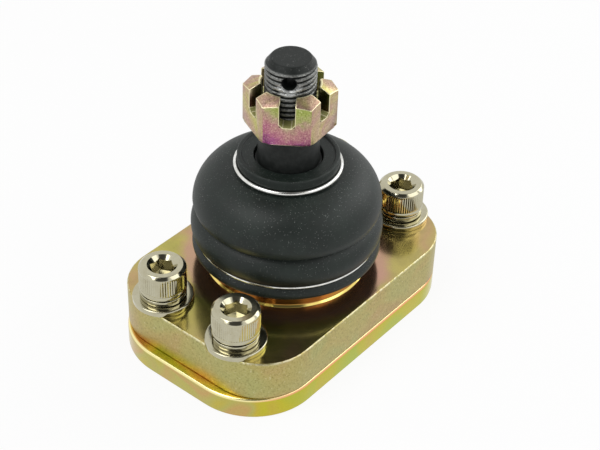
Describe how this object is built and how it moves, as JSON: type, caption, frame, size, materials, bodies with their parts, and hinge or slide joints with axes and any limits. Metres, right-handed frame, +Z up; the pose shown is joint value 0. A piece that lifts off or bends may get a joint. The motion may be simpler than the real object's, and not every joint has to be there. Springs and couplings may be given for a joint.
{
  "type": "suspension ball joint",
  "caption": "Greased ball joint on a two-plate clamp mount, with a rubber dust boot, tapered threaded stud and castle nut.",
  "frame": {"origin": "centre of the lower plate's underside", "axes": "+Z up along the stud at rest, +X along the plates' long side, +Y along their short side"},
  "size_m": [0.0918, 0.0604, 0.0852],
  "materials": {
    "lower_plate_zinc": "glossy yellow chromated zinc",
    "upper_plate_zinc": "satin yellow chromated zinc, polished on top",
    "housing_zinc": "polished yellow chromated zinc",
    "cover_zinc": "yellow chromated zinc",
    "nut_zinc": "iridescent yellow chromated zinc",
    "screw_nickel": "bright nickel",
    "clip_wire": "bright spring wire",
    "stud_phosphate": "dark phosphate with a soft sheen",
    "spring_steel": "oiled spring steel",
    "seat_plastic": "natural acetal",
    "boot_rubber": "matte moulded rubber"
  },
  "bodies": {
    "housing": {"lower_plate": "lower_plate_zinc", "upper_plate": "upper_plate_zinc", "ball_housing": "housing_zinc", "end_cover": "cover_zinc", "preload_washer": "spring_steel", "boot_base_clip": "clip_wire", "cap_screw_1": "screw_nickel", "spring_washer_1": "screw_nickel", "flat_washer_1": "screw_nickel", "cap_screw_2": "screw_nickel", "spring_washer_2": "screw_nickel", "flat_washer_2": "screw_nickel", "cap_screw_3": "screw_nickel", "spring_washer_3": "screw_nickel", "flat_washer_3": "screw_nickel", "cap_screw_4": "screw_nickel", "spring_washer_4": "screw_nickel", "flat_washer_4": "screw_nickel"},
    "seat": {"lower_seat": "seat_plastic", "upper_seat": "seat_plastic", "dust_boot": "boot_rubber"},
    "boot_neck": {"boot_neck_clip": "clip_wire"},
    "stud": {"ball_stud": "stud_phosphate", "castle_nut": "nut_zinc"}
  },
  "joints": [
    {"name": "swing_direction", "type": "hinge", "parent": "housing", "child": "seat", "pos_m": [0, 0, 0.02003], "axis": [0, 0, 1], "continuous": true},
    {"name": "stud_swing", "type": "hinge", "parent": "seat", "child": "boot_neck", "pos_m": [0, 0, 0.02003], "axis": [0, 1, 0], "range_deg": [-25, 25], "deforming": ["dust_boot"]},
    {"name": "stud_spin", "type": "hinge", "parent": "boot_neck", "child": "stud", "pos_m": [0, 0, 0.02003], "axis": [0, 0, 1], "continuous": true}
  ]
}
